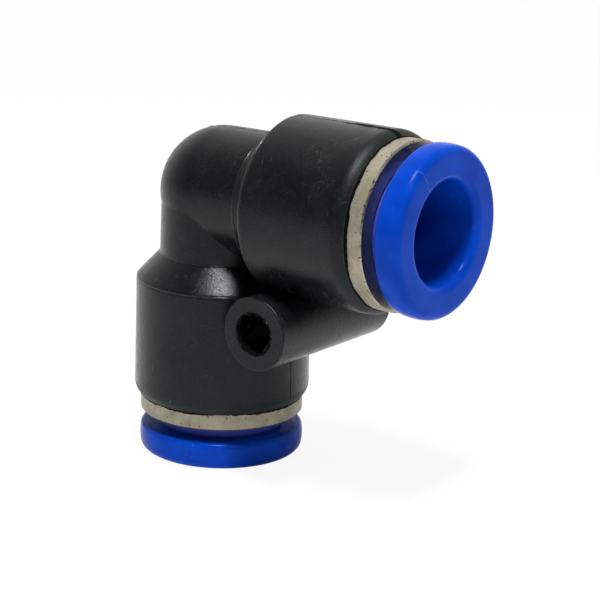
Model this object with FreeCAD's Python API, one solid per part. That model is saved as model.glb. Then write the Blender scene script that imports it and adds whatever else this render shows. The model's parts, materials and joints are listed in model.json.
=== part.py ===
# Union elbow, push to connect, for 10 mm tube.
# Millimetres, +Z up. The origin is the centre of the fixing hole, half way through the body's width.
# One port opens along +X, the other along -Z, and both axes lie in the plane Y = 0, which is a
# plane of mirror symmetry. Every port piece is drawn once along its own axis, where z is the
# distance from the crossing of the two port axes, and is then placed at each port.
import FreeCAD, Part
import math
import os

from FreeCAD import Vector

# ---- tube and flow path ----
tube_diameter = 10.0
tube_clearance = 0.10            # radial play of the tube in the collar and in its pocket
flow_radius = 3.75               # free passage through the elbow
tube_stop = 9.0                  # distance from the crossing to the shoulder that stops the tube
tube_pocket_depth = 3.6          # close hole that steadies the end of the tube
seat_clearance = 0.05            # radial play of the pieces that are stacked in the sleeve
running_clearance = 0.10         # play of the collar in the retaining ring, radial and behind its lip

# ---- body ----
sleeve_wall = 1.10               # at the mouth end of the sleeve
sleeve_draft = 0.12              # how much the sleeve narrows towards its shoulder
mouth_round_length = 1.30
mouth_round_drop = 0.58
shoulder_distance = 9.00         # from the crossing to the widest edge of the shoulder
shoulder_length = 2.55           # of the cone between neck and sleeve
shoulder_round = 0.80
side_neck_wall = 2.85
lower_neck_wall = 2.71
neck_draft = 0.12                # how much each neck widens towards its shoulder
neck_root_round = 0.35
fixing_hole_diameter = 4.2
fixing_hole_standoff = 2.10      # from the side of each sleeve to the axis of the fixing hole
boss_wall = 1.62
boss_recess = 0.20               # how far the boss faces lie inside the sides of the sleeves
boss_edge_round = 0.15

# ---- seal and backing ring ----
seal_section = 2.0               # thickness of the O-ring
seal_squeeze = 0.10              # radial interference of the O-ring on the tube
seal_play = 0.05
backing_lip = 0.60               # face of the backing ring behind the O-ring
backing_flange_length = 0.60
backing_shelf_width = 0.65       # flat shelf at the bottom of the recess
backing_recess_margin = 0.30     # how far the recess opens beyond the roots of the teeth

# ---- grab ring ----
grab_thickness = 0.35
grab_rim_width = 1.20
grab_tooth_count = 12
grab_tooth_angle = 35.0          # degrees from the plane of the ring
grab_tooth_gap = 0.60
grab_bite = 0.10                 # how far the teeth reach inside the tube's surface

# ---- retaining ring ----
ring_flange_inset = 0.08         # from the edge of the mouth to the flange
ring_flange_length = 1.80
ring_barrel_length = 4.05
ring_chamfer = 0.20
ring_lip_length = 3.0            # inner lip that guides the collar and holds its barbs
ring_lip_chamfer = 0.15
ring_rear_wall = 0.70            # wall of the ring behind its inner lip
ring_barb_room = 0.25            # radial room round the collar's barbs
ring_ridge_height = 0.10
ring_ridge_length = 0.80
ring_ridge_count = 3             # sawtooth ridges that grip the moulding

# ---- release collar ----
collar_stroke = 1.2
collar_end_play = 0.20           # gap left between flange and ring at the end of the stroke
collar_nose_room = 0.25          # gap left between nose and backing ring at the end of the stroke
collar_tooth_gap = 0.10          # play between the nose and the teeth at rest
collar_stem_wall = 1.25
collar_nose_wall = 0.60
collar_barb_height = 0.55
collar_barb_length = 0.60
collar_flange_length = 2.80
collar_overhang = 0.11           # how much wider the flange is than the retaining ring
collar_crown_distance = 1.35     # from the back of the flange to its widest line
collar_crown_round = 4.0
collar_back_taper = 0.13
collar_back_round = 0.55
collar_front_taper = 0.19
collar_front_round = 0.80
collar_lip_round = 0.85
collar_root_round = 0.30         # where the stem meets the back of the flange
collar_slot_count = 4
collar_slot_width = 0.90
collar_slot_margin = 3.80        # solid stem between the ends of the slots and the flange

cut_margin = 1.0                 # how far a cutting shape reaches past what it cuts

# ---- radii, from the tube outwards ----
tube_radius = tube_diameter / 2
pocket_radius = tube_radius + tube_clearance
seal_inner_radius = tube_radius - seal_squeeze
seal_outer_radius = seal_inner_radius + seal_section
seal_bore_radius = seal_outer_radius + seat_clearance
backing_inner_radius = pocket_radius + seat_clearance
collar_bore_radius = pocket_radius
collar_nose_radius = collar_bore_radius + collar_nose_wall
collar_stem_radius = collar_bore_radius + collar_stem_wall
collar_barb_radius = collar_stem_radius + collar_barb_height
ring_lip_radius = collar_stem_radius + running_clearance
ring_rear_radius = collar_barb_radius + ring_barb_room
ring_barrel_radius = ring_rear_radius + ring_rear_wall
ring_ridge_radius = ring_barrel_radius + ring_ridge_height
sleeve_bore_radius = ring_ridge_radius + seat_clearance
grab_outer_radius = sleeve_bore_radius - 2 * seat_clearance
grab_root_radius = grab_outer_radius - grab_rim_width
grab_tip_radius = tube_radius - grab_bite
sleeve_radius = sleeve_bore_radius + sleeve_wall
mouth_edge_radius = sleeve_radius - mouth_round_drop
ring_flange_radius = mouth_edge_radius - ring_flange_inset
collar_flange_radius = ring_flange_radius + collar_overhang
side_neck_radius = flow_radius + side_neck_wall
lower_neck_radius = flow_radius + lower_neck_wall
boss_radius = fixing_hole_diameter / 2 + boss_wall

# ---- distances along a port axis, from the crossing outwards ----
seal_floor = tube_stop + tube_pocket_depth
seal_centre = seal_floor + seal_play + seal_section / 2
backing_start = seal_floor + 2 * seal_play + seal_section
backing_shelf = backing_start + backing_lip
collar_nose = backing_shelf + collar_nose_room + collar_stroke
grab_slope = math.tan(math.radians(grab_tooth_angle))
grab_rise = grab_thickness / math.cos(math.radians(grab_tooth_angle))
grab_top = collar_nose - collar_tooth_gap + (grab_root_radius - collar_nose_radius) * grab_slope
grab_seat = grab_top - grab_thickness
backing_step = grab_seat - backing_flange_length
mouth_distance = grab_top + ring_barrel_length
ring_plane = mouth_distance + ring_flange_length
ring_lip_back = ring_plane - ring_lip_length
collar_barb_back = ring_lip_back - running_clearance
collar_flange_back = ring_plane + collar_stroke + collar_end_play
collar_face = collar_flange_back + collar_flange_length

# ---- places ----
fixing_hole_offset = sleeve_radius + fixing_hole_standoff
boss_length = 2 * (sleeve_radius - boss_recess)
crossing = Vector(-fixing_hole_offset, 0, fixing_hole_offset)
along_x = FreeCAD.Rotation(Vector(0, 1, 0), 90)
along_minus_z = FreeCAD.Rotation(Vector(0, 1, 0), 180)


# ---- drawing helpers ----
def corner(points, index):
    # Start, middle and end of the tangent arc at one corner of an outline.
    here = Vector(points[index][0], 0, points[index][1])
    before = Vector(points[index - 1][0], 0, points[index - 1][1])
    following = points[(index + 1) % len(points)]
    after = Vector(following[0], 0, following[1])
    radius = points[index][2] if len(points[index]) > 2 else 0
    if radius == 0:
        return here, None, here
    backward = (before - here).normalize()
    forward = (after - here).normalize()
    half_angle = backward.getAngle(forward) / 2
    inward = (backward + forward).normalize()
    reach = radius / math.tan(half_angle)
    middle = here + inward * (radius / math.sin(half_angle) - radius)
    return here + backward * reach, middle, here + forward * reach


def turned(points):
    # Turns a closed outline of (radius, distance[, corner round]) points about the port axis.
    corners = [corner(points, index) for index in range(len(points))]
    edges = []
    for index, (start, middle, end) in enumerate(corners):
        if middle is not None:
            edges.append(Part.Arc(start, middle, end).toShape())
        next_start = corners[(index + 1) % len(corners)][0]
        if end.distanceToPoint(next_start) > Part.Precision.confusion():
            edges.append(Part.LineSegment(end, next_start).toShape())
    return Part.Face(Part.Wire(edges)).revolve(Vector(), Vector(0, 0, 1), 360)


def radial_slots(count, width, reach, bottom, top):
    # Cutting shapes for evenly spaced slots out to one radius, with a round top end. The first lies
    # half a pitch off the symmetry plane.
    height = top - width / 2 - bottom
    slots = []
    for index in range(count):
        slot = Part.makeBox(reach, width, height, Vector(0, -width / 2, bottom))
        slot = slot.fuse(Part.makeCylinder(width / 2, reach, Vector(0, 0, bottom + height), Vector(1, 0, 0)))
        slot.rotate(Vector(), Vector(0, 0, 1), (index + 0.5) * 360 / count)
        slots.append(slot)
    return slots


def placed(shape, direction):
    # Moves a piece drawn along the port axis to one of the two ports.
    moved = shape.copy()
    moved.Placement = FreeCAD.Placement(crossing, direction)
    return moved


# ---- body ----
def arm(neck_radius):
    # Neck, cone and sleeve of one port, as a solid bar.
    chord_squared = mouth_round_length ** 2 + mouth_round_drop ** 2
    mouth_round = chord_squared / (2 * mouth_round_drop)
    mouth_corner = mouth_distance - mouth_round_length + chord_squared / (2 * mouth_round_length)
    return turned([
        (0, 0),
        (neck_radius, 0),
        (neck_radius + neck_draft, shoulder_distance - shoulder_length, neck_root_round),
        (sleeve_radius - sleeve_draft, shoulder_distance, shoulder_round),
        (sleeve_radius, mouth_corner, mouth_round),
        (mouth_edge_radius, mouth_distance),
        (0, mouth_distance),
    ])


def port_bore():
    # Flow passage, tube pocket, O-ring groove and the bore of the sleeve.
    return turned([
        (0, 0),
        (flow_radius, 0),
        (flow_radius, tube_stop),
        (pocket_radius, tube_stop),
        (pocket_radius, seal_floor),
        (seal_bore_radius, seal_floor),
        (seal_bore_radius, backing_step),
        (sleeve_bore_radius, backing_step),
        (sleeve_bore_radius, mouth_distance + cut_margin),
        (0, mouth_distance + cut_margin),
    ])


def fixing_boss():
    # Round boss through the full width, in the inner corner of the elbow.
    boss = Part.makeCylinder(boss_radius, boss_length, Vector(0, -boss_length / 2, 0), Vector(0, 1, 0))
    rims = [edge for edge in boss.Edges if isinstance(edge.Curve, Part.Circle)]
    return boss.makeFillet(boss_edge_round, rims)


def elbow_body():
    outside = placed(arm(side_neck_radius), along_x)
    outside = outside.fuse(placed(arm(lower_neck_radius), along_minus_z))
    outside = outside.fuse(Part.makeSphere(max(side_neck_radius, lower_neck_radius), crossing))
    outside = outside.fuse(fixing_boss())
    hole_length = boss_length + 2 * cut_margin
    hole = Part.makeCylinder(
        fixing_hole_diameter / 2, hole_length, Vector(0, -hole_length / 2, 0), Vector(0, 1, 0))
    inside = [
        placed(port_bore(), along_x),
        placed(port_bore(), along_minus_z),
        Part.makeSphere(flow_radius, crossing),
        hole,
    ]
    return outside.cut(inside).removeSplitter()


# ---- pieces of one port, drawn along the port axis ----
def seal_ring():
    return Part.makeTorus(
        seal_inner_radius + seal_section / 2, seal_section / 2, Vector(0, 0, seal_centre), Vector(0, 0, 1))


def backing_ring():
    return turned([
        (backing_inner_radius, backing_start),
        (seal_outer_radius, backing_start),
        (seal_outer_radius, backing_step),
        (grab_outer_radius, backing_step),
        (grab_outer_radius, grab_seat),
        (grab_root_radius + backing_recess_margin, grab_seat),
        (backing_inner_radius + backing_shelf_width, backing_shelf),
        (backing_inner_radius, backing_shelf),
    ])


def grab_ring():
    tip_top = grab_top - (grab_root_radius - grab_tip_radius) * grab_slope
    root_under = grab_root_radius + (grab_rise - grab_thickness) / grab_slope
    washer = turned([
        (grab_outer_radius, grab_seat),
        (grab_outer_radius, grab_top),
        (grab_root_radius, grab_top),
        (grab_tip_radius, tip_top),
        (grab_tip_radius, tip_top - grab_rise),
        (root_under, grab_seat),
    ])
    gaps = radial_slots(
        grab_tooth_count, grab_tooth_gap, grab_root_radius,
        tip_top - grab_rise - cut_margin, grab_top + cut_margin)
    return washer.cut(gaps)


def retaining_ring():
    outline = [
        (ring_barrel_radius, mouth_distance),
        (ring_flange_radius, mouth_distance),
        (ring_flange_radius, ring_plane - ring_chamfer),
        (ring_flange_radius - ring_chamfer, ring_plane),
        (ring_lip_radius + ring_lip_chamfer, ring_plane),
        (ring_lip_radius, ring_plane - ring_lip_chamfer),
        (ring_lip_radius, ring_lip_back),
        (ring_rear_radius, ring_lip_back),
        (ring_rear_radius, grab_top),
        (ring_barrel_radius, grab_top),
    ]
    first = (grab_top + mouth_distance - ring_ridge_count * ring_ridge_length) / 2
    for index in range(ring_ridge_count):
        start = first + index * ring_ridge_length
        outline.append((ring_barrel_radius, start))
        outline.append((ring_ridge_radius, start + ring_ridge_length))
    outline.append((ring_barrel_radius, first + ring_ridge_count * ring_ridge_length))
    return turned(outline)


def release_collar():
    collar = turned([
        (collar_bore_radius, collar_nose),
        (collar_nose_radius, collar_nose),
        (collar_barb_radius, collar_barb_back - collar_barb_length),
        (collar_barb_radius, collar_barb_back),
        (collar_stem_radius, collar_barb_back),
        (collar_stem_radius, collar_flange_back, collar_root_round),
        (collar_flange_radius - collar_back_taper, collar_flange_back, collar_back_round),
        (collar_flange_radius, collar_flange_back + collar_crown_distance, collar_crown_round),
        (collar_flange_radius - collar_front_taper, collar_face, collar_front_round),
        (collar_bore_radius, collar_face, collar_lip_round),
    ])
    slots = radial_slots(
        collar_slot_count, collar_slot_width, collar_barb_radius + cut_margin,
        collar_nose - cut_margin, collar_flange_back - collar_slot_margin)
    return collar.cut(slots)


# ---- writing ----
def write(name, shape):
    solids = shape.Solids
    if len(solids) != 1 or not shape.isValid():
        raise RuntimeError(name + " is not one valid solid")
    solids[0].exportStep("parts/" + name + ".step")
    print(name, round(solids[0].Volume, 2))


port_pieces = {
    "seal_ring": seal_ring,
    "backing_ring": backing_ring,
    "grab_ring": grab_ring,
    "retaining_ring": retaining_ring,
    "release_collar": release_collar,
}
ports = {"side": along_x, "lower": along_minus_z}

os.makedirs("parts", exist_ok=True)
write("elbow_body", elbow_body())
for port_name, port_direction in ports.items():
    for piece_name, make_piece in port_pieces.items():
        write(port_name + "_" + piece_name, placed(make_piece(), port_direction))
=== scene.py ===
import bpy
import bmesh
import json
import math
from mathutils import Euler, Matrix, Vector, noise
from mathutils.bvhtree import BVHTree


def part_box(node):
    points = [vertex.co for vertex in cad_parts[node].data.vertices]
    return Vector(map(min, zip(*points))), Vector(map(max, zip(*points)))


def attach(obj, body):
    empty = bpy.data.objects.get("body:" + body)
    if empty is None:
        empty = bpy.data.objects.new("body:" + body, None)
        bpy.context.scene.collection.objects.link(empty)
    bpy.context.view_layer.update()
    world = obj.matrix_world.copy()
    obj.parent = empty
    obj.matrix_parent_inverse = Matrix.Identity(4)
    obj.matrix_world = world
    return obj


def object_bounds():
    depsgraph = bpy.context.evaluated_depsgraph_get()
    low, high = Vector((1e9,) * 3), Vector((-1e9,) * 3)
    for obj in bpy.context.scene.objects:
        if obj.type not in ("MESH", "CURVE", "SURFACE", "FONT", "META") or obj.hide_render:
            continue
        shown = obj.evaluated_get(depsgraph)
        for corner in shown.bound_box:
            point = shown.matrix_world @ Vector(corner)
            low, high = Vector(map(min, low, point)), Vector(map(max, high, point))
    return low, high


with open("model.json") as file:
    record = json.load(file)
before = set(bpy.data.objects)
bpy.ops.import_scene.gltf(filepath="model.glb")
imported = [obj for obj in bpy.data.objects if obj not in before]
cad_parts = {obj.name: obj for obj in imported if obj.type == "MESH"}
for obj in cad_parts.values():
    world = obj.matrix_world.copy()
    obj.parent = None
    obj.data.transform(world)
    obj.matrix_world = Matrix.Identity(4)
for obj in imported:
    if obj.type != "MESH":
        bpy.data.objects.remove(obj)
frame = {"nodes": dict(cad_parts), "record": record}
cadBox = [list(corner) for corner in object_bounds()]
print("frame loaded:", len(frame["nodes"]), "nodes")

mm = 0.001
mounts = {mount["name"]: mount for mount in frame["record"]["mounts"]}
sidePort = Vector(mounts["side_port"]["pos_m"])
lowerPort = Vector(mounts["lower_port"]["pos_m"])
crossing = Vector((lowerPort.x, 0.0, sidePort.z))   # where the axes of the two ports meet
portTurn = {"side": (0.0, math.pi / 2, 0.0), "lower": (math.pi, 0.0, 0.0)}   # turns Z out of each port
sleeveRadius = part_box("elbow_body")[1][2] - crossing.z
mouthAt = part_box("elbow_body")[1][0] - crossing.x   # how far out along its axis each sleeve ends
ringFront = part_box("side_retaining_ring")[1][0] - crossing.x   # and the metal ring in its mouth
stemRadius = 6.35 * mm    # of the collars, where they slide in the rings
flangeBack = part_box("side_release_collar")[1][0] - crossing.x - 2.8 * mm


def newObject(name, data):
    item = bpy.data.objects.new(name, data)
    bpy.context.collection.objects.link(item)
    return item


# camera

cameraView = {
    "azimuth": 37.33,
    "elevation": 15.76,
    "roll": 1.5,
    "distance": 211.19 * mm,
    "aimRight": 7.655 * mm,
    "aimUp": -11.283 * mm,
    "lens": 124.06,
    "sensor": 36.0,
    "clipStart": 0.005,
    "clipEnd": 50.0,
}


def addCamera():
    azimuth = math.radians(cameraView["azimuth"])
    elevation = math.radians(cameraView["elevation"])
    back = Vector((math.sin(azimuth) * math.cos(elevation),
                   -math.cos(azimuth) * math.cos(elevation), math.sin(elevation)))
    level = Vector((math.cos(azimuth), math.sin(azimuth), 0.0))
    roll = Matrix.Rotation(math.radians(cameraView["roll"]), 3, back)
    right = roll @ level
    up = back.cross(right)
    place = crossing + back * cameraView["distance"]
    place += right * cameraView["aimRight"]
    place += up * cameraView["aimUp"]
    data = bpy.data.cameras.new("camera")
    data.lens = cameraView["lens"]
    data.sensor_width = cameraView["sensor"]
    data.clip_start = cameraView["clipStart"]
    data.clip_end = cameraView["clipEnd"]
    camera = newObject("camera", data)
    camera.matrix_world = Matrix.Translation(place) @ Matrix((right, up, back)).transposed().to_4x4()
    bpy.context.scene.camera = camera


addCamera()
print("camera placed")


# node helpers, with the numbers of each material in millimetres

middling = (0.30, 0.70)       # the range that most of a noise's values lie in


def addNode(tree, kind, **settings):
    node = tree.nodes.new(kind)
    for name, value in settings.items():
        setattr(node, name, value)
    return node


def plug(tree, value, socket):
    if isinstance(value, bpy.types.NodeSocket):
        tree.links.new(value, socket)
    else:
        socket.default_value = value


def startMaterial(name):
    material = bpy.data.materials.new(name)
    material.use_nodes = True
    tree = material.node_tree
    shader = tree.nodes["Principled BSDF"]
    return material, tree, shader


def bodyFrame(tree, stretch=(1.0, 1.0, 1.0), turn=(0.0, 0.0, 0.0)):
    coordinates = addNode(tree, "ShaderNodeTexCoord")
    mapping = addNode(tree, "ShaderNodeMapping", vector_type="TEXTURE")
    mapping.inputs["Rotation"].default_value = turn
    mapping.inputs["Scale"].default_value = [mm * s for s in stretch]
    tree.links.new(coordinates.outputs["Object"], mapping.inputs["Vector"])
    return mapping.outputs["Vector"]


def portFrame(tree, port, stretch=(1.0, 1.0, 1.0)):
    # Z runs out along the port's axis, from where the two axes cross
    coordinates = addNode(tree, "ShaderNodeTexCoord")
    mapping = addNode(tree, "ShaderNodeMapping", vector_type="TEXTURE")
    mapping.inputs["Location"].default_value = crossing
    mapping.inputs["Rotation"].default_value = portTurn[port]
    mapping.inputs["Scale"].default_value = [mm * s for s in stretch]
    tree.links.new(coordinates.outputs["Object"], mapping.inputs["Vector"])
    return mapping.outputs["Vector"]


def noiseFac(tree, vector, scale, detail=2.0, rough=0.5, distortion=0.0):
    node = addNode(tree, "ShaderNodeTexNoise")
    node.inputs["Scale"].default_value = scale
    node.inputs["Detail"].default_value = detail
    node.inputs["Roughness"].default_value = rough
    node.inputs["Distortion"].default_value = distortion
    tree.links.new(vector, node.inputs["Vector"])
    return node.outputs["Fac"]


def cells(tree, vector, scale, feature="F1"):
    node = addNode(tree, "ShaderNodeTexVoronoi", feature=feature)
    node.inputs["Scale"].default_value = scale
    tree.links.new(vector, node.inputs["Vector"])
    return node.outputs["Distance"]


def spread(tree, value, low, high, start=0.0, end=1.0, smooth=False):
    node = addNode(tree, "ShaderNodeMapRange", clamp=True)
    node.interpolation_type = "SMOOTHSTEP" if smooth else "LINEAR"
    plug(tree, value, node.inputs["Value"])
    for name, number in (("From Min", low), ("From Max", high), ("To Min", start), ("To Max", end)):
        node.inputs[name].default_value = number
    return node.outputs["Result"]


def sums(tree, operation, first, second=0.0):
    node = addNode(tree, "ShaderNodeMath", operation=operation)
    plug(tree, first, node.inputs[0])
    plug(tree, second, node.inputs[1])
    return node.outputs["Value"]


def blendColor(tree, share, first, second, mode="MIX"):
    node = addNode(tree, "ShaderNodeMix", data_type="RGBA", blend_type=mode)
    plug(tree, share, node.inputs[0])
    plug(tree, first, node.inputs[6])
    plug(tree, second, node.inputs[7])
    return node.outputs[2]


def bump(tree, height, depth, strength=1.0, under=None):
    node = addNode(tree, "ShaderNodeBump")
    node.inputs["Strength"].default_value = strength
    node.inputs["Distance"].default_value = depth * mm
    plug(tree, height, node.inputs["Height"])
    if under is not None:
        tree.links.new(under, node.inputs["Normal"])
    return node.outputs["Normal"]


def fromAxis(tree, vector):
    # distance from the port's axis, and distance along it
    split = addNode(tree, "ShaderNodeSeparateXYZ")
    tree.links.new(vector, split.inputs["Vector"])
    squared = sums(tree, "ADD", sums(tree, "MULTIPLY", split.outputs["X"], split.outputs["X"]),
                   sums(tree, "MULTIPLY", split.outputs["Y"], split.outputs["Y"]))
    return sums(tree, "SQRT", squared), split.outputs["Z"]


def edgeMask(tree, radius, along, edgeRadius, edgeAlong, width):
    # 1 on a round edge of the port, falling to 0 at the width
    across = sums(tree, "SUBTRACT", radius, edgeRadius)
    forward = sums(tree, "SUBTRACT", along, edgeAlong)
    squared = sums(tree, "ADD", sums(tree, "MULTIPLY", across, across),
                   sums(tree, "MULTIPLY", forward, forward))
    return spread(tree, sums(tree, "SQRT", squared), 0.0, width, 1.0, 0.0, smooth=True)


def scratches(tree, vector, scale, amount, rough=0.6):
    # the thin lines where a stretched noise passes its middle value
    value = noiseFac(tree, vector, scale, detail=3.0, rough=rough)
    distance = sums(tree, "ABSOLUTE", sums(tree, "SUBTRACT", value, 0.5))
    return spread(tree, distance, 0.0, amount, 1.0, 0.0)


def streak(tree, mark, thickness=0.4):
    # 1 on one small straight mark that lies on the skin round a port
    turn = Euler(portTurn[mark["port"]]).to_matrix() @ Matrix.Rotation(math.radians(mark["angle"]), 3, "Z")
    place = crossing + turn @ Vector((mark["radius"], 0.0, mark["along"])) * mm
    tilt = Matrix.Rotation(-math.radians(mark["tilt"]), 3, "Y")
    turn = turn @ Matrix.Rotation(math.pi / 2, 3, "Z") @ tilt
    coordinates = addNode(tree, "ShaderNodeTexCoord")
    mapping = addNode(tree, "ShaderNodeMapping", vector_type="TEXTURE")
    mapping.inputs["Location"].default_value = place
    mapping.inputs["Rotation"].default_value = turn.to_euler()
    halves = (mark["length"] / 2, thickness, mark["width"] / 2)
    mapping.inputs["Scale"].default_value = [half * mm for half in halves]
    tree.links.new(coordinates.outputs["Object"], mapping.inputs["Vector"])
    length = addNode(tree, "ShaderNodeVectorMath", operation="LENGTH")
    tree.links.new(mapping.outputs["Vector"], length.inputs[0])
    return spread(tree, length.outputs["Value"], 0.5, 1.0, 1.0, 0.0)


# black moulding

nicks = (     # small marks on it: degrees and millimetres round and along a port
    {"port": "lower", "pale": False, "angle": 64.0, "along": 13.60, "radius": 9.1,
     "length": 0.75, "width": 0.13, "tilt": -38},
    {"port": "lower", "pale": False, "angle": 70.5, "along": 13.75, "radius": 9.1,
     "length": 0.90, "width": 0.07, "tilt": 4},
    {"port": "lower", "pale": True, "angle": 85.6, "along": 20.40, "radius": 8.9,
     "length": 0.42, "width": 0.12, "tilt": 75},
    {"port": "lower", "pale": True, "angle": 102.1, "along": 17.50, "radius": 9.1,
     "length": 0.95, "width": 0.05, "tilt": 105},
    {"port": "side", "pale": True, "angle": -128.8, "along": 10.40, "radius": 9.1,
     "length": 1.30, "width": 0.05, "tilt": 20},
    {"port": "side", "pale": True, "angle": -131.0, "along": 11.30, "radius": 9.1,
     "length": 0.80, "width": 0.04, "tilt": 35},
    {"port": "side", "pale": False, "angle": -84.0, "along": 17.80, "radius": 9.1,
     "length": 1.10, "width": 0.07, "tilt": 70},
)
moulding = {
    "dark": (0.0026, 0.0042, 0.0048, 1.0),
    "light": (0.0068, 0.0092, 0.0098, 1.0),
    "fibre": (0.020, 0.023, 0.023, 1.0),
    # lighter colour of scratches and chipped edges: wear, and on the edges also painted highlight
    "wornAndGlint": (0.045, 0.045, 0.042, 1.0),
    "dust": (0.16, 0.15, 0.13, 1.0),
    "roughScale": 0.9,
    "roughLow": 0.16,
    "roughHigh": 0.28,
    "specular": 0.20,
    "specularTint": (0.92, 0.985, 1.0, 1.0),
    "cloudScale": 0.30,
    "cloudRange": (0.35, 0.70),
    "grainScale": 6.0,
    "grainRange": (0.60, 0.80),
    "grainShare": 0.5,
    "grainDepth": 0.030,
    "fibreScale": 5.0,
    "fibreRange": (0.58, 0.70),
    "fibrePatchScale": 0.8,
    "fibrePatchRange": (0.42, 0.62),
    "fibreLeast": 0.15,
    "peelScale": 1.4,
    "peelDepth": 0.020,
}
mouldingWear = {
    "longScratches": {"stretch": (9.0, 0.5, 2.5), "turn": (0.4, 0.5, 0.9), "scale": 0.55, "width": 0.0040},
    "shortScratches": {"stretch": (0.6, 3.5, 6.0), "turn": (1.1, 0.2, 0.5), "scale": 0.70, "width": 0.0035},
    "patchScale": 0.45,
    "patchRange": (0.52, 0.62),
    "scratchShare": 0.55,
    "scratchRough": 0.12,
    "scratchDepth": 0.010,
    "mouthFrom": 1.5,         # the rounded mouths, which handling has dulled
    "mouthFull": 0.9,
    "mouthRough": 0.20,
    "edgeWidth": 0.22,
    "edgeShare": 0.8,
    "shoulderInset": 0.15,
    "shoulderAlong": 9.05,
    "mouthInset": 0.58,
    "chipScale": 2.2,
    "chipRange": (0.42, 0.66),
    "speckScale": 1.15,
    "speckRange": (0.030, 0.055),
    "speckShare": 0.7,
    "speckPatchScale": 0.8,
    "speckPatchRange": (0.56, 0.60),
    "nickShare": 0.75,
    "nickDepth": 0.060,
}


def scratchLines(tree, lines):
    return scratches(tree, bodyFrame(tree, lines["stretch"], lines["turn"]), lines["scale"], lines["width"])


def wornAndGlintEdges(tree, place):
    # the chipped edges of the sleeves, lighter as wear and as painted highlight of the light lines along
    # the shoulder and mouth edges, and the rounded mouths
    wear = mouldingWear
    edges = None
    dulled = None
    shoulderEdge = (sleeveRadius / mm - wear["shoulderInset"], wear["shoulderAlong"])
    mouthEdge = (sleeveRadius / mm - wear["mouthInset"], mouthAt / mm)
    for port in ("side", "lower"):
        radius, along = fromAxis(tree, portFrame(tree, port))
        nearMouth = spread(tree, along, mouthAt / mm - wear["mouthFrom"], mouthAt / mm - wear["mouthFull"],
                           smooth=True)
        dulled = nearMouth if dulled is None else sums(tree, "MAXIMUM", dulled, nearMouth)
        for edgeRadius, edgeAlong in (shoulderEdge, mouthEdge):
            mask = edgeMask(tree, radius, along, edgeRadius, edgeAlong, wear["edgeWidth"])
            edges = mask if edges is None else sums(tree, "MAXIMUM", edges, mask)
    chipped = noiseFac(tree, place, wear["chipScale"], detail=4.0, rough=0.7)
    chipped = spread(tree, chipped, *wear["chipRange"])
    return sums(tree, "MULTIPLY", edges, chipped), dulled


def mouldedPlastic(name):
    look = moulding
    wear = mouldingWear
    material, tree, shader = startMaterial(name)
    place = bodyFrame(tree)
    clouds = noiseFac(tree, place, look["cloudScale"], detail=5.0, rough=0.6, distortion=0.4)
    grain = noiseFac(tree, place, look["grainScale"], detail=3.0, rough=0.6)
    color = blendColor(tree, spread(tree, clouds, *look["cloudRange"]), look["dark"], look["light"])
    grainShare = spread(tree, grain, *look["grainRange"], 0.0, look["grainShare"])
    color = blendColor(tree, grainShare, color, look["light"])
    fibres = spread(tree, noiseFac(tree, place, look["fibreScale"], rough=0.7), *look["fibreRange"])
    fibrePatches = noiseFac(tree, place, look["fibrePatchScale"], detail=3.0)
    fibrePatches = spread(tree, fibrePatches, *look["fibrePatchRange"], look["fibreLeast"], 1.0)
    color = blendColor(tree, sums(tree, "MULTIPLY", fibres, fibrePatches), color, look["fibre"])

    patches = spread(tree, noiseFac(tree, place, wear["patchScale"]), *wear["patchRange"])
    lines = sums(tree, "MAXIMUM", scratchLines(tree, wear["longScratches"]),
                 scratchLines(tree, wear["shortScratches"]))
    lines = sums(tree, "MULTIPLY", lines, patches)
    color = blendColor(tree, sums(tree, "MULTIPLY", lines, wear["scratchShare"]), color, look["wornAndGlint"])
    edges, dulled = wornAndGlintEdges(tree, place)
    # the chipped shoulder and mouth edges are lighter: wear, and painted highlight of their light lines
    color = blendColor(tree, sums(tree, "MULTIPLY", edges, wear["edgeShare"]), color, look["wornAndGlint"])

    specks = spread(tree, cells(tree, place, wear["speckScale"]), *wear["speckRange"], 1.0, 0.0)
    speckPatches = spread(tree, noiseFac(tree, place, wear["speckPatchScale"]), *wear["speckPatchRange"])
    specks = sums(tree, "MULTIPLY", specks, speckPatches)
    color = blendColor(tree, sums(tree, "MULTIPLY", specks, wear["speckShare"]), color, look["dust"])
    cuts = None
    for mark in nicks:
        mask = streak(tree, mark)
        if mark["pale"]:
            color = blendColor(tree, sums(tree, "MULTIPLY", mask, wear["nickShare"]), color, look["dust"])
        cuts = mask if cuts is None else sums(tree, "MAXIMUM", cuts, mask)
    plug(tree, color, shader.inputs["Base Color"])

    rough = noiseFac(tree, place, look["roughScale"], detail=5.0, rough=0.65)
    rough = spread(tree, rough, *middling, look["roughLow"], look["roughHigh"])
    rough = sums(tree, "ADD", rough, sums(tree, "MULTIPLY", lines, wear["scratchRough"]))
    rough = sums(tree, "ADD", rough, sums(tree, "MULTIPLY", dulled, wear["mouthRough"]))
    plug(tree, rough, shader.inputs["Roughness"])
    shader.inputs["Specular IOR Level"].default_value = look["specular"]
    shader.inputs["Specular Tint"].default_value = look["specularTint"]

    normal = bump(tree, noiseFac(tree, place, look["peelScale"], detail=3.0), look["peelDepth"])
    normal = bump(tree, grain, look["grainDepth"], under=normal)
    normal = bump(tree, sums(tree, "SUBTRACT", 1.0, lines), wear["scratchDepth"], under=normal)
    normal = bump(tree, sums(tree, "SUBTRACT", 1.0, cuts), wear["nickDepth"], under=normal)
    plug(tree, normal, shader.inputs["Normal"])
    return material


# the same plastic where it is torn: flash, burrs and the parting line; its near-black colour on the flash
# and the parting line is painted shade

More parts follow.
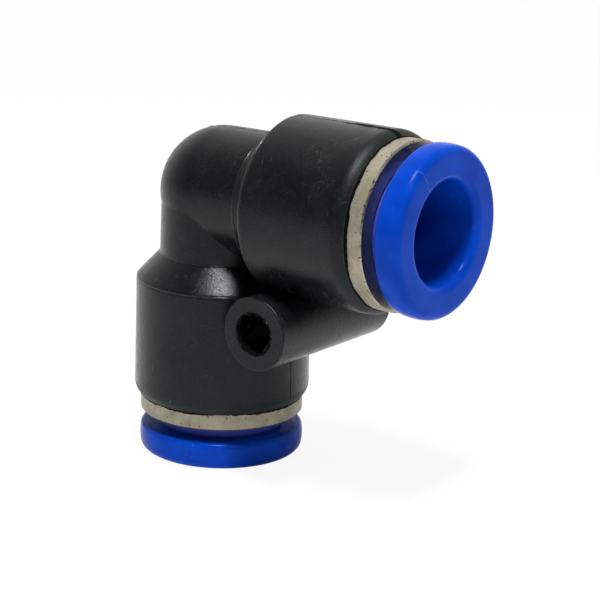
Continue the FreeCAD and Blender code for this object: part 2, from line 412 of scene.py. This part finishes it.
torn = {
    # near-black: on the mouth flash and the parting line it is painted shade
    "dark": (0.0016, 0.0020, 0.0022, 1.0),
    # stress whitening; on the hole burr also painted highlight
    "pale": (0.10, 0.10, 0.095, 1.0),
    "paleScale": 2.4,
    "paleSoft": 0.08,
    "roughLow": 0.50,
    "roughHigh": 0.75,
    "specular": 0.05,
    "fibreStretch": (1.0, 0.4, 1.0),
    "fibreScale": 4.0,
    "fibreDepth": 0.030,
}


def tornPlastic(name, paleFrom):
    look = torn
    material, tree, shader = startMaterial(name)
    fibres = bodyFrame(tree, stretch=look["fibreStretch"])
    fibres = noiseFac(tree, fibres, look["fibreScale"], detail=5.0, rough=0.7)
    stressed = noiseFac(tree, bodyFrame(tree), look["paleScale"], detail=3.0, rough=0.6)
    stressed = spread(tree, stressed, paleFrom, paleFrom + look["paleSoft"])
    plug(tree, blendColor(tree, stressed, look["dark"], look["pale"]), shader.inputs["Base Color"])
    rough = spread(tree, fibres, *middling, look["roughLow"], look["roughHigh"])
    plug(tree, rough, shader.inputs["Roughness"])
    shader.inputs["Specular IOR Level"].default_value = look["specular"]
    plug(tree, bump(tree, fibres, look["fibreDepth"]), shader.inputs["Normal"])
    return material


# and where steel inserts met, and left it polished; its lighter rubbed colour is partly painted highlight
# of the fine light lines there

polished = {
    "rubbedGlint": (0.014, 0.015, 0.015, 1.0),
    "black": (0.0050, 0.0062, 0.0066, 1.0),
    "rubScale": 0.9,
    "rubRange": (0.40, 0.66),
    "roughLow": 0.14,
    "roughHigh": 0.26,
    "specular": 0.50,
    "unevenScale": 5.0,
    "unevenDepth": 0.003,
}


def polishedPlastic(name):
    look = polished
    material, tree, shader = startMaterial(name)
    place = bodyFrame(tree)
    rub = spread(tree, noiseFac(tree, place, look["rubScale"], detail=5.0, rough=0.7), *look["rubRange"])
    # lighter rubbed patches: polish, and painted highlight of the light lines
    plug(tree, blendColor(tree, rub, look["black"], look["rubbedGlint"]), shader.inputs["Base Color"])
    rough = spread(tree, rub, 0.0, 1.0, look["roughLow"], look["roughHigh"])
    plug(tree, rough, shader.inputs["Roughness"])
    shader.inputs["Specular IOR Level"].default_value = look["specular"]
    uneven = noiseFac(tree, place, look["unevenScale"], detail=3.0)
    plug(tree, bump(tree, uneven, look["unevenDepth"]), shader.inputs["Normal"])
    return material


# plated brass of the retaining rings

plating = {
    "bright": (0.41, 0.372, 0.290, 1.0),
    "dull": (0.29, 0.262, 0.194, 1.0),
    "stain": (0.14, 0.110, 0.065, 1.0),
    "pit": (0.045, 0.040, 0.035, 1.0),
    "roughLow": 0.46,
    "roughHigh": 0.60,
    "sideMetallic": 0.60,
    "faceRough": 0.40,        # the turned front keeps its shine
    "faceFrom": 0.18,         # distance back from it
    "faceFull": 0.10,
    "cloudScale": 0.7,
    "cloudRange": (0.32, 0.68),
    "turnStretch": (14.0, 14.0, 1.0),
    "turnScale": 9.0,
    "turnRange": (0.35, 0.65),
    "turnShare": 0.35,
    "turnDepth": 0.004,
    "stainScale": 0.33,
    "stainRange": (0.52, 0.72),
    "stainShare": 0.55,
    "pitScale": 1.7,
    "pitRange": (0.11, 0.19),
    "pitPatchScale": 1.3,
    "pitPatchRange": (0.46, 0.54),
    "pinholeScale": 5.5,
    "pinholeRange": (0.64, 0.72),
    "pinholeShare": 0.7,
    "pitRough": 0.3,
    "pitDepth": 0.030,
    "chipWidth": 0.55,
    "chipClear": 0.12,
    "chipEnd": 0.05,
    "chipScale": 2.0,
    "chipRange": (0.38, 0.68),
    "chipLeast": (1.66, 1.78),
}


def platingPits(tree, place, along):
    # pits, pinholes, and the chips behind the front edge
    look = plating
    front = ringFront / mm
    pits = spread(tree, cells(tree, place, look["pitScale"]), *look["pitRange"], 1.0, 0.0)
    patches = spread(tree, noiseFac(tree, place, look["pitPatchScale"]), *look["pitPatchRange"])
    pits = sums(tree, "MULTIPLY", pits, patches)
    pinholes = spread(tree, noiseFac(tree, place, look["pinholeScale"]), *look["pinholeRange"])
    pits = sums(tree, "MAXIMUM", pits, sums(tree, "MULTIPLY", pinholes, look["pinholeShare"]))
    edge = spread(tree, along, front - look["chipWidth"], front - look["chipClear"])
    chips = noiseFac(tree, place, look["chipScale"], detail=3.0, rough=0.7)
    chips = sums(tree, "ADD", edge, spread(tree, chips, *look["chipRange"]))
    chips = spread(tree, chips, *look["chipLeast"])
    chips = sums(tree, "MULTIPLY", chips, sums(tree, "LESS_THAN", along, front - look["chipEnd"]))
    return sums(tree, "MAXIMUM", pits, chips)


def platedBrass(name, port):
    look = plating
    material, tree, shader = startMaterial(name)
    place = portFrame(tree, port)
    clouds = noiseFac(tree, place, look["cloudScale"], detail=5.0, rough=0.6)
    turned = portFrame(tree, port, stretch=look["turnStretch"])
    marks = noiseFac(tree, turned, look["turnScale"], detail=3.0, rough=0.7)
    color = blendColor(tree, spread(tree, clouds, *look["cloudRange"]), look["dull"], look["bright"])
    turnShare = spread(tree, marks, *look["turnRange"], 0.0, look["turnShare"])
    color = blendColor(tree, turnShare, color, look["dull"])
    stain = noiseFac(tree, place, look["stainScale"], detail=6.0, rough=0.7)
    stain = spread(tree, stain, *look["stainRange"])
    color = blendColor(tree, sums(tree, "MULTIPLY", stain, look["stainShare"]), color, look["stain"])
    along = fromAxis(tree, place)[1]
    pits = platingPits(tree, place, along)
    plug(tree, blendColor(tree, pits, color, look["pit"]), shader.inputs["Base Color"])
    face = spread(tree, along, ringFront / mm - look["faceFrom"], ringFront / mm - look["faceFull"])
    plug(tree, spread(tree, face, 0.0, 1.0, look["sideMetallic"], 1.0), shader.inputs["Metallic"])
    rough = spread(tree, clouds, *middling, look["roughHigh"], look["roughLow"])
    rough = sums(tree, "ADD", rough, sums(tree, "MULTIPLY", face, look["faceRough"] - look["roughHigh"]))
    rough = sums(tree, "ADD", rough, sums(tree, "MULTIPLY", pits, look["pitRough"]))
    plug(tree, rough, shader.inputs["Roughness"])
    normal = bump(tree, marks, look["turnDepth"])
    normal = bump(tree, sums(tree, "SUBTRACT", 1.0, pits), look["pitDepth"], under=normal)
    plug(tree, normal, shader.inputs["Normal"])
    return material


# blue plastic of the release collars

acetal = {
    "deep": (0.0012, 0.040, 0.39, 1.0),
    "clear": (0.0020, 0.059, 0.50, 1.0),
    "scuff": (0.06, 0.16, 0.62, 1.0),
    "slidPaintedLight": (0.062, 0.088, 0.50, 1.0),   # where the stem slides in the plated ring: rubbed, and lighter and more violet as painted light of the recess between ring and flange
    "roughScale": 1.1,
    "roughLow": 0.14,
    "roughHigh": 0.24,
    "specular": 0.05,
    "subsurface": 0.12,
    "subsurfaceRadius": (0.2, 0.5, 1.0),
    "subsurfaceDepth": 0.6,
    "cloudScale": 0.35,
    "slidRange": (0.05, 0.30),
    "slidCloudRange": (0.25, 0.60),
    "slidLeast": 0.65,
    "slidClear": 0.3,         # it fades out this far behind the flange
    "slidPast": 0.1,
    "scratchStretch": (1.0, 7.0, 2.0),
    "scratchScale": 0.6,
    "scratchWidth": 0.0035,
    "scratchPatchScale": 0.55,
    "scratchPatchRange": (0.50, 0.62),
    "scratchShare": 0.5,
    "scratchDepth": 0.006,
    "weldAngle": -143.0,      # degrees round the port, of the line where the melt met
    "weldWidth": 0.09,
    "weldWander": 1.6,
    "wanderScale": 0.5,
    "weldFrom": 26.6,
    "weldFull": 27.1,
    "weldShare": 0.55,
    "waveScale": 0.8,
    "waveDepth": 0.010,
    "grainScale": 9.0,
    "grainDepth": 0.003,
}


def weldLine(tree, port, place):
    # on one side of the collar's face, from the bore to the rim
    look = acetal
    turn = addNode(tree, "ShaderNodeVectorRotate", rotation_type="Z_AXIS")
    turn.inputs["Angle"].default_value = -math.radians(look["weldAngle"])
    tree.links.new(portFrame(tree, port), turn.inputs["Vector"])
    split = addNode(tree, "ShaderNodeSeparateXYZ")
    tree.links.new(turn.outputs["Vector"], split.inputs["Vector"])
    wander = sums(tree, "SUBTRACT", noiseFac(tree, place, look["wanderScale"]), 0.5)
    across = sums(tree, "ADD", split.outputs["Y"], sums(tree, "MULTIPLY", wander, look["weldWander"]))
    weld = spread(tree, sums(tree, "ABSOLUTE", across), 0.0, look["weldWidth"], 1.0, 0.0)
    weld = sums(tree, "MULTIPLY", weld, sums(tree, "GREATER_THAN", split.outputs["X"], 0.0))
    forward = spread(tree, split.outputs["Z"], look["weldFrom"], look["weldFull"])
    return sums(tree, "MULTIPLY", weld, forward)


def slidPaintedLightBand(tree, place, clouds):
    # the rubbed outside of the stem, behind the flange, lighter and more violet as painted light of the
    # recess between ring and flange
    look = acetal
    radius, along = fromAxis(tree, place)
    off = sums(tree, "ABSOLUTE", sums(tree, "SUBTRACT", radius, stemRadius / mm))
    slidPaintedLight = spread(tree, off, *look["slidRange"], 1.0, 0.0, smooth=True)
    uneven = spread(tree, clouds, *look["slidCloudRange"], look["slidLeast"], 1.0)
    slidPaintedLight = sums(tree, "MULTIPLY", slidPaintedLight, uneven)
    back = flangeBack / mm
    behind = spread(tree, along, back - look["slidClear"], back + look["slidPast"], 1.0, 0.0)
    return sums(tree, "MULTIPLY", slidPaintedLight, behind)


def bluePlastic(name, port):
    look = acetal
    material, tree, shader = startMaterial(name)
    place = portFrame(tree, port)
    clouds = noiseFac(tree, place, look["cloudScale"], detail=4.0, rough=0.55)
    color = blendColor(tree, spread(tree, clouds, *middling), look["deep"], look["clear"])
    long = portFrame(tree, port, stretch=look["scratchStretch"])
    patches = spread(tree, noiseFac(tree, place, look["scratchPatchScale"]), *look["scratchPatchRange"])
    lines = scratches(tree, long, look["scratchScale"], look["scratchWidth"])
    lines = sums(tree, "MULTIPLY", lines, patches)
    color = blendColor(tree, sums(tree, "MULTIPLY", lines, look["scratchShare"]), color, look["scuff"])
    weld = weldLine(tree, port, place)
    color = blendColor(tree, sums(tree, "MULTIPLY", weld, look["weldShare"]), color, look["scuff"])
    # the stem behind the flange: rubbed, and painted light of the recess
    color = blendColor(tree, slidPaintedLightBand(tree, place, clouds), color, look["slidPaintedLight"])
    plug(tree, color, shader.inputs["Base Color"])
    rough = noiseFac(tree, place, look["roughScale"], detail=5.0, rough=0.6)
    rough = spread(tree, rough, *middling, look["roughLow"], look["roughHigh"])
    plug(tree, rough, shader.inputs["Roughness"])
    shader.inputs["Specular IOR Level"].default_value = look["specular"]
    shader.inputs["Subsurface Weight"].default_value = look["subsurface"]
    shader.inputs["Subsurface Radius"].default_value = look["subsurfaceRadius"]
    shader.inputs["Subsurface Scale"].default_value = look["subsurfaceDepth"] * mm
    normal = bump(tree, noiseFac(tree, place, look["waveScale"]), look["waveDepth"])
    normal = bump(tree, noiseFac(tree, place, look["grainScale"]), look["grainDepth"], under=normal)
    normal = bump(tree, sums(tree, "SUBTRACT", 1.0, lines), look["scratchDepth"], under=normal)
    normal = bump(tree, weld, look["scratchDepth"], under=normal)
    plug(tree, normal, shader.inputs["Normal"])
    return material


# stamped spring steel of the grab rings

springSteel = {
    "bright": (0.66, 0.66, 0.67, 1.0),
    "dull": (0.40, 0.40, 0.41, 1.0),
    "tint": (0.45, 0.36, 0.24, 1.0),
    "tintFrom": 4.9,          # from the tips of the teeth to their roots
    "tintTo": 6.6,
    "tintShare": 0.6,
    "roughLow": 0.20,
    "roughHigh": 0.36,
    "rollStretch": (10.0, 0.6, 1.0),
    "rollScale": 8.0,
    "rollDepth": 0.003,
}


def stampedSteel(name, port):
    look = springSteel
    material, tree, shader = startMaterial(name)
    rolled = portFrame(tree, port, stretch=look["rollStretch"])
    marks = noiseFac(tree, rolled, look["rollScale"], detail=3.0, rough=0.7)
    radius = fromAxis(tree, portFrame(tree, port))[0]
    color = blendColor(tree, spread(tree, marks, *middling), look["bright"], look["dull"])
    tips = spread(tree, radius, look["tintFrom"], look["tintTo"], look["tintShare"], 0.0)
    plug(tree, blendColor(tree, tips, color, look["tint"]), shader.inputs["Base Color"])
    shader.inputs["Metallic"].default_value = 1.0
    rough = spread(tree, marks, *middling, look["roughLow"], look["roughHigh"])
    plug(tree, rough, shader.inputs["Roughness"])
    plug(tree, bump(tree, marks, look["rollDepth"]), shader.inputs["Normal"])
    return material


# uncoloured plastic of the backing rings

natural = {
    "pale": (0.74, 0.72, 0.64, 1.0),
    "shade": (0.60, 0.57, 0.48, 1.0),
    "cloudScale": 0.6,
    "roughLow": 0.34,
    "roughHigh": 0.48,
    "subsurface": 0.2,
    "subsurfaceRadius": (1.0, 0.8, 0.5),
    "subsurfaceDepth": 0.5,
    "waveScale": 1.6,
    "waveDepth": 0.010,
}


def naturalPlastic(name, port):
    look = natural
    material, tree, shader = startMaterial(name)
    place = portFrame(tree, port)
    clouds = spread(tree, noiseFac(tree, place, look["cloudScale"], detail=4.0), *middling)
    plug(tree, blendColor(tree, clouds, look["pale"], look["shade"]), shader.inputs["Base Color"])
    waves = noiseFac(tree, place, look["waveScale"], detail=4.0)
    rough = spread(tree, waves, *middling, look["roughLow"], look["roughHigh"])
    plug(tree, rough, shader.inputs["Roughness"])
    shader.inputs["Subsurface Weight"].default_value = look["subsurface"]
    shader.inputs["Subsurface Radius"].default_value = look["subsurfaceRadius"]
    shader.inputs["Subsurface Scale"].default_value = look["subsurfaceDepth"] * mm
    plug(tree, bump(tree, waves, look["waveDepth"]), shader.inputs["Normal"])
    return material


# nitrile rubber of the seals

nitrile = {
    "dark": (0.010, 0.010, 0.011, 1.0),
    "light": (0.030, 0.030, 0.031, 1.0),
    "cloudScale": 0.9,
    "roughDry": 0.55,
    "roughGreased": 0.22,
    "greaseScale": 0.5,
    "greaseRange": (0.42, 0.58),
    "grainScale": 8.0,
    "grainDepth": 0.004,
    "flashRadius": 4.9,
    "flashAlong": 13.65,
    "flashWidth": 0.15,
    "flashDepth": 0.020,
}


def sealRubber(name, port):
    look = nitrile
    material, tree, shader = startMaterial(name)
    place = portFrame(tree, port)
    clouds = spread(tree, noiseFac(tree, place, look["cloudScale"], detail=4.0), *middling)
    plug(tree, blendColor(tree, clouds, look["dark"], look["light"]), shader.inputs["Base Color"])
    grease = spread(tree, noiseFac(tree, place, look["greaseScale"]), *look["greaseRange"], smooth=True)
    rough = spread(tree, grease, 0.0, 1.0, look["roughDry"], look["roughGreased"])
    plug(tree, rough, shader.inputs["Roughness"])
    radius, along = fromAxis(tree, place)
    flash = edgeMask(tree, radius, along, look["flashRadius"], look["flashAlong"], look["flashWidth"])
    normal = bump(tree, noiseFac(tree, place, look["grainScale"], detail=3.0), look["grainDepth"])
    normal = bump(tree, flash, look["flashDepth"], under=normal)
    plug(tree, normal, shader.inputs["Normal"])
    return material


def dress(node, material):
    data = frame["nodes"][node].data
    data.materials.clear()
    data.materials.append(material)


blackPlastic = mouldedPlastic("blackMoulding")
dress("elbow_body", blackPlastic)
for port in ("side", "lower"):
    dress(port + "_retaining_ring", platedBrass(port + "Plating", port))
    dress(port + "_release_collar", bluePlastic(port + "Acetal", port))
    dress(port + "_grab_ring", stampedSteel(port + "SpringSteel", port))
    dress(port + "_backing_ring", naturalPlastic(port + "Natural", port))
    dress(port + "_seal_ring", sealRubber(port + "Nitrile", port))
print("materials on all", len(frame["nodes"]), "nodes")


# the small raised marks that the mould leaves on the body

mergeWithin = 0.0005 * mm
castFrom = 30 * mm            # well outside the body

skin = bmesh.new()
skin.from_mesh(frame["nodes"]["elbow_body"].data)
bmesh.ops.remove_doubles(skin, verts=skin.verts, dist=mergeWithin)
skinTree = BVHTree.FromBMesh(skin)


def portPlace(port):
    return Matrix.Translation(crossing) @ Euler(portTurn[port]).to_matrix().to_4x4()


def skinRadius(port, along):
    # radius of the body's outside, this far along the port, on the side away from the fixing boss
    place = portPlace(port)
    start = place @ Vector((0.0, castFrom, along))
    hit = skinTree.ray_cast(start, place.to_3x3() @ Vector((0.0, -1.0, 0.0)))
    return castFrom - hit[3]


def addPiece(name, mesh, material):
    bmesh.ops.recalc_face_normals(mesh, faces=mesh.faces)
    data = bpy.data.meshes.new(name)
    mesh.to_mesh(data)
    mesh.free()
    for face in data.polygons:
        face.use_smooth = True
    data.materials.append(material)
    piece = newObject(name, data)
    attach(piece, "body")


def turnedRing(outline, steps):
    # a closed ring about Z from an outline of (radius, height) points
    mesh = bmesh.new()
    corners = [mesh.verts.new((radius, 0.0, height)) for radius, height in outline]
    edges = [mesh.edges.new((corners[i - 1], corners[i])) for i in range(len(corners))]
    bmesh.ops.spin(mesh, geom=corners + edges, cent=(0.0, 0.0, 0.0), axis=(0.0, 0.0, 1.0),
                   angle=2 * math.pi, steps=steps, use_merge=True)
    return mesh


def bead(radius, height, size, sides=10):
    # outline of a thin round line
    turns = [2 * math.pi * i / sides for i in range(sides)]
    return [(radius + size * math.cos(turn), height + size * math.sin(turn)) for turn in turns]


def clamp(value):
    return min(1.0, max(0.0, value))


def ripple(spot, look):
    # uneven along a mark, from coarse and fine waves, each by its share and its scale per millimetre
    coarseShare, coarseScale = look["coarse"]
    fineShare, fineScale = look["fine"]
    coarse = noise.noise(spot * coarseScale)
    fine = noise.noise(spot * fineScale + Vector(look["fineShift"]))
    return look["level"] + coarseShare * coarse + fineShare * fine


# fine lines where the mould's inserts met, at both edges of each shoulder

insertLine = {
    "outerAlong": 9.02 * mm,
    "innerAlong": 6.42 * mm,
    "size": 0.065 * mm,
    "sink": 0.025 * mm,
    "uneven": 0.012 * mm,
    "level": 0.0,
    "coarse": (1.0, 1.3),
    "fine": (0.5, 5.0),
    "fineShift": (0.0, 0.0, 0.0),
    "steps": 240,
}


def addInsertLines(material):
    look = insertLine
    for port in ("side", "lower"):
        for edge in ("outer", "inner"):
            along = look[edge + "Along"]
            outline = bead(skinRadius(port, along) - look["sink"], along, look["size"])
            mesh = turnedRing(outline, look["steps"])
            for vert in mesh.verts:
                wave = ripple(vert.co / mm, look)
                out = Vector((vert.co.x, vert.co.y, 0.0)).normalized()
                vert.co += out * wave * look["uneven"]
            bmesh.ops.transform(mesh, matrix=portPlace(port), verts=mesh.verts)
            addPiece(port + "_" + edge + "_insert_line", mesh, material)


addInsertLines(polishedPlastic("polishedMoulding"))


# ragged flash that the sleeves' mouths leave over the metal rings; near-black, it is also painted shadow of
# the gap between each sleeve's mouth and its ring

mouthFlashShadowGap = {
    "inside": 0.010 * mm,     # clear of the ring
    "thickness": 0.075 * mm,
    "behind": 0.14 * mm,
    "shortest": {"side": 0.13 * mm, "lower": 0.03 * mm},
    "longest": {"side": 0.34 * mm, "lower": 0.20 * mm},
    "level": 0.5,
    "coarse": (0.9, 0.55),
    "fine": (0.5, 2.6),
    "fineShift": (7.0, 3.0, 1.0),
    "steps": 420,
    "paleFrom": 0.66,
}


def addMouthFlashShadowGap(port, material):
    look = mouthFlashShadowGap
    ringLow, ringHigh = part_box("side_retaining_ring")
    inner = (ringHigh[2] - ringLow[2]) / 2 + look["inside"]
    outer = inner + look["thickness"]
    root = mouthAt - look["behind"]
    mesh = turnedRing([(inner, root), (outer, root), (outer, mouthAt), (inner, mouthAt)], look["steps"])
    shortest = look["shortest"][port]
    room = look["longest"][port] - shortest
    for vert in mesh.verts:
        if vert.co.z > mouthAt - look["behind"] / 2:
            vert.co.z += shortest + room * clamp(ripple(vert.co / mm, look))
    bmesh.ops.transform(mesh, matrix=portPlace(port), verts=mesh.verts)
    addPiece(port + "_mouth_flash_shadow_gap", mesh, material)


# burr round both ends of the fixing hole, with pale specks that are stress whitening and painted highlight
# of glints on the hole's rim

holeBurr = {
    "rise": 0.07 * mm,
    "bite": 0.46 * mm,
    "root": 0.12 * mm,
    "level": 0.1,
    "coarse": (1.0, 0.8),
    "fine": (0.7, 3.1),
    "fineShift": (0.0, 0.0, 0.0),
    "endShift": 4.0,          # so that the two ends differ
    "steps": 180,
    "paleFrom": 0.60,
}


def addHoleBurr(end, material):
    look = holeBurr
    holeRadius = mounts["fixing_hole"]["dims"]["r_mm"] * mm
    face = abs(mounts["front_boss_face"]["pos_m"][1])
    rooted = holeRadius + look["root"]
    outline = [(rooted, face - look["root"]), (rooted, face + look["rise"] / 2),
               (holeRadius, face + look["rise"]), (holeRadius - look["rise"], face - look["root"])]
    mesh = turnedRing(outline, look["steps"])
    for vert in mesh.verts:
        flat = Vector((vert.co.x, vert.co.y, 0.0))
        if flat.length < holeRadius + look["root"] / 2:
            spot = vert.co / mm + Vector((end * look["endShift"], 0.0, 0.0))
            vert.co -= flat.normalized() * look["bite"] * clamp(ripple(spot, look))
    bmesh.ops.rotate(mesh, verts=mesh.verts, matrix=Matrix.Rotation(end * math.pi / 2, 3, "X"))
    addPiece("hole_burr_" + ("back" if end < 0 else "front"), mesh, material)


# parting line of the mould, round the outside of the body in its middle plane; its wide near-black part on
# top of the side sleeve is also painted shade of the step there

partingLine = {
    "width": 0.16 * mm,
    "height": 0.045 * mm,
    # wide enough on top of the side sleeve to stand as painted shade of the step
    "heavyShadeWidth": 0.86 * mm,
    "heavyEdge": 0.08 * mm,
    "heavyFrom": 14.6 * mm,   # along the side sleeve, on its top
    "fullFrom": 17.0 * mm,
    "heavyUneven": (0.5, 2.0),
    "depth": 0.06 * mm,
    "sink": 0.012 * mm,
    "pitch": 0.30 * mm,
    "bossClear": 3.9 * mm,
    "castLift": 0.02 * mm,
    "cutWithin": 0.002 * mm,
    "leastRise": 0.5,
    "level": 0.75,
    "coarse": (1.0, 1.7),
    "fine": (0.4, 6.0),
    "fineShift": (0.0, 0.0, 0.0),
}


def isOutside(face):
    # false on the walls of the bores, where the way out is blocked
    middle = face.calc_center_median()
    return skinTree.ray_cast(middle + face.normal * partingLine["castLift"], face.normal)[0] is None


def onBoss(face):
    # the boss has its own parting, at its two ends
    middle = face.calc_center_median()
    return math.hypot(middle.x, middle.z) < partingLine["bossClear"]


def cutAt(mesh, spot, direction, drop=False):
    geometry = mesh.verts[:] + mesh.edges[:] + mesh.faces[:]
    bmesh.ops.bisect_plane(mesh, geom=geometry, plane_co=spot, plane_no=direction,
                           dist=partingLine["cutWithin"], clear_outer=drop)


def partingStrip(reach):
    # the body's skin on both sides of the middle plane, in short pieces, without the bores and the boss
    look = partingLine
    mesh = skin.copy()
    cutAt(mesh, (0.0, reach, 0.0), (0.0, 1.0, 0.0), drop=True)
    cutAt(mesh, (0.0, -reach, 0.0), (0.0, -1.0, 0.0), drop=True)
    crest = reach - look["heavyEdge"]
    for across in (-crest, -look["width"] / 2, 0.0, look["width"] / 2, crest):
        cutAt(mesh, (0.0, across, 0.0), (0.0, 1.0, 0.0))
    mesh.normal_update()
    buried = [face for face in mesh.faces if not isOutside(face) or onBoss(face)]
    bmesh.ops.delete(mesh, geom=buried, context="FACES")
    low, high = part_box("elbow_body")
    for axis in (0, 2):
        direction = [0.0, 0.0, 0.0]
        direction[axis] = 1.0
        for i in range(1, int((high[axis] - low[axis]) / look["pitch"])):
            spot = [0.0, 0.0, 0.0]
            spot[axis] = low[axis] + i * look["pitch"]
            cutAt(mesh, spot, direction)
    mesh.normal_update()
    return mesh


def partingShare(spot, reach):
    # how much of its full height the line has here
    look = partingLine
    if abs(spot.y) < look["width"] / 4:
        return 1.0
    if abs(spot.y) >= reach - look["heavyEdge"] / 2:
        return 0.0
    heavy = 0.0
    if spot.z > crossing.z:
        heavy = (spot.x - crossing.x - look["heavyFrom"]) / (look["fullFrom"] - look["heavyFrom"])
    unevenShare, unevenScale = look["heavyUneven"]
    return clamp(heavy + unevenShare * noise.noise(spot / mm * unevenScale))


def addPartingLine(material):
    look = partingLine
    reach = look["heavyShadeWidth"] / 2
    mesh = partingStrip(reach)
    normals = {vert: vert.normal.copy() for vert in mesh.verts}
    for vert, normal in normals.items():
        rise = look["height"] * max(look["leastRise"], ripple(vert.co / mm, look))
        vert.co += normal * (rise * partingShare(vert.co, reach) - look["sink"])
    lid = mesh.faces[:]
    under = bmesh.ops.extrude_face_region(mesh, geom=lid, use_keep_orig=True)
    for vert in [item for item in under["geom"] if isinstance(item, bmesh.types.BMVert)]:
        vert.co -= vert.normal * look["depth"]
    addPiece("parting_line_and_shade", mesh, material)


# near-black flash and parting line, which are also painted shade
tornBlackShade = tornPlastic("tornMouldingShade", mouthFlashShadowGap["paleFrom"])
for port in ("side", "lower"):
    addMouthFlashShadowGap(port, tornBlackShade)
# pale specks on the burr: stress whitening, and painted highlight of glints at the hole's rim
tornPaleGlint = tornPlastic("tornBurrGlint", holeBurr["paleFrom"])
for end in (-1, 1):
    addHoleBurr(end, tornPaleGlint)
addPartingLine(tornBlackShade)
skin.free()
print("mould marks added")


# floor

floorLook = {
    "radius": 4.0,
    "segments": 96,
    "color": (0.93, 0.93, 0.925, 1.0),
    "roughness": 0.75,
    "lift": 0.91,             # of its own white, as the camera sees it
    "glossLift": 0.32,        # and as the fitting mirrors it
}


def floorMaterial():
    material, tree, shader = startMaterial("paleFloor")
    shader.inputs["Base Color"].default_value = floorLook["color"]
    shader.inputs["Roughness"].default_value = floorLook["roughness"]
    output = tree.nodes["Material Output"]
    white = addNode(tree, "ShaderNodeEmission")
    path = addNode(tree, "ShaderNodeLightPath")
    seen = sums(tree, "MAXIMUM", path.outputs["Is Camera Ray"], path.outputs["Is Transmission Ray"])
    lift = sums(tree, "MAXIMUM", sums(tree, "MULTIPLY", seen, floorLook["lift"]),
                sums(tree, "MULTIPLY", path.outputs["Is Glossy Ray"], floorLook["glossLift"]))
    mix = addNode(tree, "ShaderNodeMixShader")
    tree.links.new(lift, mix.inputs[0])
    tree.links.new(shader.outputs["BSDF"], mix.inputs[1])
    tree.links.new(white.outputs["Emission"], mix.inputs[2])
    tree.links.new(mix.outputs["Shader"], output.inputs["Surface"])
    return material


def addFloor():
    mesh = bmesh.new()
    bmesh.ops.create_circle(mesh, cap_ends=True, segments=floorLook["segments"], radius=floorLook["radius"])
    bmesh.ops.translate(mesh, verts=mesh.verts, vec=(crossing.x, 0.0, cadBox[0][2]))
    data = bpy.data.meshes.new("floor")
    mesh.to_mesh(data)
    mesh.free()
    floor = newObject("floor", data)
    data.materials.append(floorMaterial())


addFloor()


# light

lamps = {
    "overhead": {"toward": (0.165, -0.216, 0.963), "distance": 0.45, "size": 0.11, "power": 2.50},
    "window": {"toward": (0.620, -0.260, 0.740), "distance": 0.55, "size": 0.045, "power": 0.28},
}
room = {
    "near": (0.07, 0.07, 0.075, 1.0),    # behind the camera
    "far": (0.92, 0.91, 0.83, 1.0),      # behind the fitting
    "depthRange": (-0.35, 0.75),
    "seen": (1.0, 1.0, 1.0, 1.0),        # what the camera itself sees past the floor
    "strength": 1.0,
}


def addLamp(name, values):
    data = bpy.data.lights.new(name, "AREA")
    data.shape = "DISK"
    data.size = values["size"]
    data.energy = values["power"]
    lamp = newObject(name, data)
    toward = Vector(values["toward"]).normalized()
    lamp.location = crossing + toward * values["distance"]
    lamp.rotation_euler = toward.to_track_quat("Z", "Y").to_euler()


def addRoom():
    world = bpy.data.worlds.new("room")
    world.use_nodes = True
    bpy.context.scene.world = world
    tree = world.node_tree
    background = tree.nodes["Background"]
    coordinates = addNode(tree, "ShaderNodeTexCoord")
    mapping = addNode(tree, "ShaderNodeMapping", vector_type="TEXTURE")
    mapping.inputs["Rotation"].default_value = (0.0, 0.0, math.radians(cameraView["azimuth"]))
    tree.links.new(coordinates.outputs["Generated"], mapping.inputs["Vector"])
    split = addNode(tree, "ShaderNodeSeparateXYZ")
    tree.links.new(mapping.outputs["Vector"], split.inputs["Vector"])
    depth = spread(tree, split.outputs["Y"], *room["depthRange"], smooth=True)
    color = blendColor(tree, depth, room["near"], room["far"])
    path = addNode(tree, "ShaderNodeLightPath")
    color = blendColor(tree, path.outputs["Is Camera Ray"], color, room["seen"])
    plug(tree, color, background.inputs["Color"])
    background.inputs["Strength"].default_value = room["strength"]


for name, values in lamps.items():
    addLamp(name, values)
addRoom()
bpy.context.scene.view_settings.view_transform = "Standard"
print("floor and lights placed")
